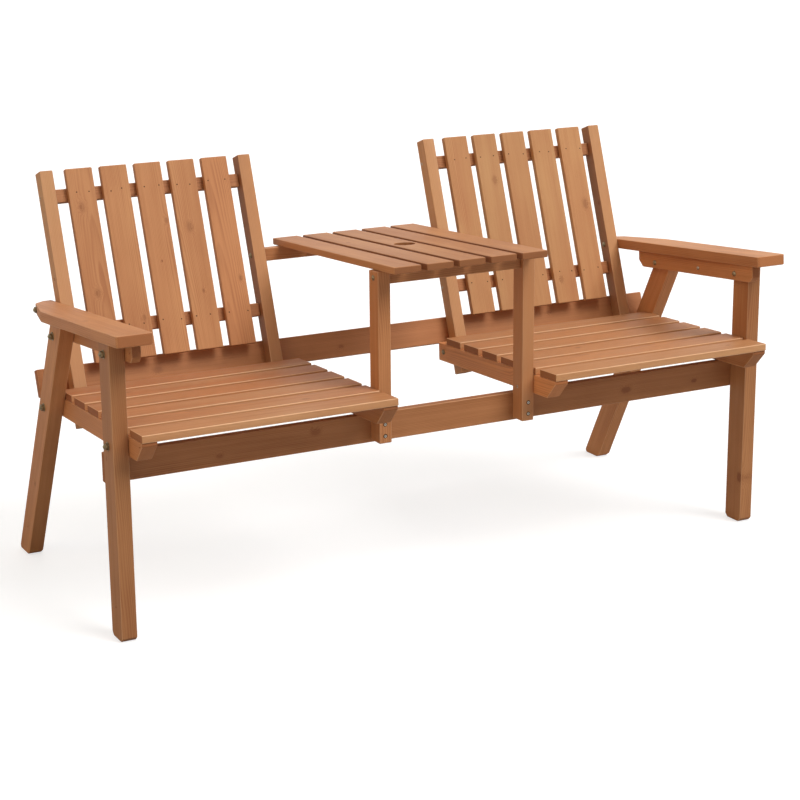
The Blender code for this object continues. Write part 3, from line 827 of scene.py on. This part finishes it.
# A dark disc round a post screw's head: painted shade of the recess that the head sits in
RECESS_SHADE_DISC = [
    (0, -0.0006),
    (0.0048, -0.0006),
    (0.0048, 0.0001),
    (0.0043, 0.0006),
    (0.0033, 0.0001),
    (0, 0.0001),
]

NAIL_RADIUS = 0.0016
NAIL_HEAD = [
    (0, -0.0010),
    (NAIL_RADIUS, -0.0010),
    (NAIL_RADIUS, 0.00015),
    (NAIL_RADIUS * 0.86, 0.00032),
    (NAIL_RADIUS * 0.45, 0.00026),
    (0, 0.00022),
]


# Where the fasteners sit, on the bench's right: faces of the boards, then places on them

LEG_OUTSIDE_X = 0.800
LEG_MIDDLE_X = 0.783
ARMREST_SPOT_FACE_X = 0.7790
ARM_SUPPORT_INSIDE_X = 0.7457
SIDE_RAIL_INSIDE_X = 0.7317
OUTER_STILE_OUTSIDE_X = 0.7314
OUTER_STILE_INSIDE_X = 0.7014
STILE_MIDDLES_X = (0.7164, 0.2431)
INNER_STILE_SEAT_X = 0.2581
INNER_STILE_TABLE_X = 0.2281
INNER_RAIL_TABLE_X = 0.1938
POST_SEAT_X = 0.1935
POST_SCREWS_X = 0.1795
POST_TABLE_X = 0.1635
POST_FRONT_Y = -0.284
FRONT_RAIL_BACK_Y = -0.2217

LEG_BOLTS = (
    ("front_leg_bolt_", SIDE_RAIL_INSIDE_X, LEG_OUTSIDE_X),
    ("rear_leg_bolt_", OUTER_STILE_INSIDE_X, LEG_OUTSIDE_X),
    ("armrest_bolt_", OUTER_STILE_INSIDE_X, ARMREST_SPOT_FACE_X),
)
ARM_SUPPORT_BOLTS_YZ = ((-0.271, 0.605), (0.048, 0.575))
SEAT_JOINT_YZ = (0.1285, 0.3998)
TABLE_LAG_BOLTS = ((POST_SEAT_X, -0.263, 0.6935), (INNER_STILE_SEAT_X, 0.2294, 0.663))
REAR_RAIL_SCREW_SHIFTS = (-0.014, 0.014)
LEG_SCREWS_Z = (0.374, 0.344)
ARM_SUPPORT_SCREW_YZ = (-0.130, 0.593)
POST_TO_RAIL_SCREW_YZ = (-0.263, 0.409)
POST_SCREWS_Z = (0.375, 0.349)

LONG_RAIL_SCREW = 0.0042
SIDE_SCREW = 0.0038
POST_SCREW = 0.0030
POST_SCREW_PROUD = 0.0010
ROUND_SCREW_HEAD = (0.0048, 0.0024)


def fit_bolts(label, side, turns):
    """The bolts; each of the six that hold a leg or an armrest stands for its solid."""
    for name, head_x, nut_x in LEG_BOLTS:
        low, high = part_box(name + label)
        bolt = Hardware()
        middle = (low + high) / 2
        add_bolt(bolt, side, middle.y, middle.z, head_x, nut_x, turns.uniform(0, 1))
        bolt.finished(name + "steel_" + label, ZINC, [name + label])

    bolts = Hardware()
    for y, z in ARM_SUPPORT_BOLTS_YZ:
        add_bolt(bolts, side, y, z, ARM_SUPPORT_INSIDE_X, LEG_OUTSIDE_X, turns.uniform(0, 1))
    bolts.finished("arm_support_bolts_" + label, ZINC)

    joints = Hardware()
    add_dome(joints, side_place(side, (INNER_RAIL_TABLE_X, *SEAT_JOINT_YZ), -1))
    spot = (INNER_STILE_SEAT_X, *SEAT_JOINT_YZ)
    add_nut_end(joints, side_place(side, spot, 1, turns.uniform(0, 1)))
    joints.finished("seat_joint_bolts_" + label, ZINC)

    lags = Hardware()
    for spot in TABLE_LAG_BOLTS:
        add_lag_bolt(lags, side, spot)
    lags.finished("table_lag_bolts_" + label, ZINC)


def fit_frame_screws(label, side, turns):
    """The screws in the long rails, the stiles, the arm support and the table post."""
    screws = Hardware()
    rear = boards["rear_long_rail"]
    for x in STILE_MIDDLES_X:
        for shift in REAR_RAIL_SCREW_SHIFTS:
            spot = rear.middle + rear.flat * rear.half[2] + rear.side * shift
            place = facing_place((side * x, spot.y, spot.z), rear.flat, turns.uniform(0, 3))
            add_cross_screw(screws, place, LONG_RAIL_SCREW)
    for z in LEG_SCREWS_Z:
        point = (side * LEG_MIDDLE_X, FRONT_RAIL_BACK_Y, z)
        place = facing_place(point, BACKWARD, turns.uniform(0, 3))
        add_cross_screw(screws, place, LONG_RAIL_SCREW)
    for cross in ("lower", "upper"):
        rail = boards[f"{cross}_cross_rail_{label}"].middle
        for x, away in ((OUTER_STILE_OUTSIDE_X, 1), (INNER_STILE_TABLE_X, -1)):
            place = side_place(side, (x, rail.y, rail.z), away, turns.uniform(0, 3))
            add_cross_screw(screws, place, SIDE_SCREW)
    place = side_place(side, (ARM_SUPPORT_INSIDE_X, *ARM_SUPPORT_SCREW_YZ), -1)
    add_dome(screws, place, *ROUND_SCREW_HEAD)
    spot = (POST_TABLE_X, *POST_TO_RAIL_SCREW_YZ)
    add_cross_screw(screws, side_place(side, spot, -1, turns.uniform(0, 3)), SIDE_SCREW)
    screws.finished("frame_screws_" + label, SCREW_STEEL)


def fit_post_screws(label, side, turns):
    """The two bright screws on the front of a table post, each in a dark disc: painted shade of
    the recess round its head.
    """
    screws = Hardware()
    recess_shade_discs = Hardware()
    for z in POST_SCREWS_Z:
        point = (side * POST_SCREWS_X, POST_FRONT_Y, z)
        place = facing_place(point, FORWARD, turns.uniform(0, 3))
        add_cross_screw(screws, place, POST_SCREW, POST_SCREW_PROUD)
        recess_shade_discs.turned(place, RECESS_SHADE_DISC, 28)
    screws.finished("post_screws_" + label, BRIGHT_STEEL)
    recess_shade_discs.finished("post_screw_recess_shade_" + label, NAIL_STEEL)


def fit_back_slat_nails(label, hand):
    """Two nails where each back slat crosses a rail, driven by hand."""
    nails = Hardware()
    for number in range(1, 6):
        slat = boards[f"back_slat_{label}_{number}"]
        front = slat.middle - slat.flat * slat.half[2]
        for cross in ("lower", "upper"):
            rail = boards[f"{cross}_cross_rail_{label}"]
            up = (rail.middle - front).dot(slat.grain)
            for shift in (-hand.uniform(0.012, 0.024), hand.uniform(0.010, 0.025)):
                height = up + hand.uniform(-0.003, 0.003)
                point = front + slat.grain * height + slat.side * shift
                nails.turned(facing_place(point, -along_slope(BACK_LEAN)), NAIL_HEAD, 14)
    nails.finished("back_slat_nails_" + label, NAIL_STEEL)


for label, side in SIDES:
    turns = random.Random(11 + side)
    fit_bolts(label, side, turns)
    fit_frame_screws(label, side, turns)
    fit_post_screws(label, side, turns)

for label, side in SIDES:
    fit_back_slat_nails(label, random.Random(5 + side))


# Floor and backdrop

FLOOR_RADIUS = 30
FLOOR_HEIGHT = -0.0004
SHEEN_RADIUS = 29
SHEEN_HEIGHT = -0.0002
BACKDROP_RADIUS = 29.5


def pale_finish(name, shade, glow):
    """A plain, slightly cloudy studio surface."""
    f = Finish(name)
    spot = f.wire("ShaderNodeTexCoord", output="Object")
    cloud = f.noise(spot, 0.7)
    darker = colour(shade * 0.985, shade * 0.985, shade * 0.98)
    return f.close(
        {
            "Base Color": f.mixed(cloud, colour(shade, shade, shade), darker),
            "Roughness": 0.85,
            "Specular IOR Level": 0.1,
            "Emission Color": colour(1, 1, 1),
            "Emission Strength": glow,
        }
    )


def sheen_finish():
    """Clear, with an even glow that makes the floor as pale as the backdrop."""
    f = Finish("floor_sheen")
    glow = f.wire("ShaderNodeEmission", None, {"Color": colour(1, 1, 1), "Strength": 0.66})
    clear = f.wire("ShaderNodeBsdfTransparent")
    both = f.wire("ShaderNodeAddShader", None, {0: glow, 1: clear})
    f.node("ShaderNodeOutputMaterial", None, {"Surface": both})
    return f.material


def round_sheet(radius, height):
    sheet = bmesh.new()
    bmesh.ops.create_circle(sheet, cap_ends=True, radius=radius, segments=96)
    bmesh.ops.translate(sheet, verts=sheet.verts, vec=(0, 0, height))
    return sheet


def studio_piece(name, shape, material, unseen_by):
    """Part of the studio, hidden from some kinds of light rays."""
    data = bpy.data.meshes.new(name)
    shape.to_mesh(data)
    shape.free()
    data.materials.append(material)
    made = bpy.data.objects.new(name, data)
    scene.collection.objects.link(made)
    for ray in unseen_by:
        setattr(made, "visible_" + ray, False)
    return made


dome = bmesh.new()
bmesh.ops.create_icosphere(dome, subdivisions=4, radius=BACKDROP_RADIUS)

floor = studio_piece(
    "studio_floor",
    round_sheet(FLOOR_RADIUS, FLOOR_HEIGHT),
    pale_finish("pale_floor", 0.46, 0.0),
    (),
)
backdrop = studio_piece(
    "studio_backdrop",
    dome,
    pale_finish("pale_backdrop", 0.0, 0.97),
    ("diffuse", "transmission", "shadow", "volume_scatter"),
)
sheen = studio_piece(
    "studio_floor_sheen",
    round_sheet(SHEEN_RADIUS, SHEEN_HEIGHT),
    sheen_finish(),
    ("diffuse", "glossy", "transmission", "shadow", "volume_scatter"),
)


# Light

world = bpy.data.worlds.new("studio_air")
world.use_nodes = True
air = world.node_tree.nodes["Background"]
air.inputs["Color"].default_value = colour(1.0, 0.88, 0.74)
air.inputs["Strength"].default_value = 0.10
scene.world = world
scene.view_settings.view_transform = "Standard"

WHITE = (1, 1, 1)
WARM = (1.0, 0.84, 0.64)
LAMP_DISTANCE = 4

# Softboxes far away: the direction that they stand in, strength, spread in degrees and tint
SOFTBOXES = (
    ("key_light", (0.36, -0.56, 0.75), 2.3, 32, WHITE),
    ("top_light", (0.05, 0.05, 1.0), 0.85, 80, WHITE),
    ("back_light", (0.40, 0.80, 0.35), 0.75, 70, WHITE),
    ("side_light", (-0.90, -0.20, 0.30), 1.25, 70, WARM),
)

for name, source, strength, spread, tint in SOFTBOXES:
    light = bpy.data.lights.new(name, "SUN")
    light.color = tint
    light.energy = strength
    light.angle = math.radians(spread)
    lamp = bpy.data.objects.new(name, light)
    scene.collection.objects.link(lamp)
    lamp.location = Vector(source) * LAMP_DISTANCE
    lamp.rotation_euler = Vector(source).to_track_quat("Z", "Y").to_euler()


# Camera: its focal length is in pixels of the photograph, FRAME_SIDE wide and high

CAMERA_FOCAL = 2011.93
FRAME_SIDE = 800
SENSOR_WIDTH = 36
CAMERA_SPOT = Vector((-2.0859, -3.9678, 1.5697))
CAMERA_YAW, CAMERA_PITCH, CAMERA_ROLL = (math.radians(a) for a in (-27.8045, -15.3741, -0.507))

camera = bpy.data.cameras.new("photo_camera")
camera.sensor_width = SENSOR_WIDTH
camera.lens = SENSOR_WIDTH * CAMERA_FOCAL / FRAME_SIDE
camera.clip_start, camera.clip_end = 0.05, 200
view = bpy.data.objects.new("photo_camera", camera)
scene.collection.objects.link(view)
aim = Matrix.Rotation(CAMERA_YAW, 4, "Z") @ Matrix.Rotation(math.pi / 2 + CAMERA_PITCH, 4, "X")
view.matrix_world = Matrix.Translation(CAMERA_SPOT) @ aim @ Matrix.Rotation(CAMERA_ROLL, 4, "Z")
scene.camera = view
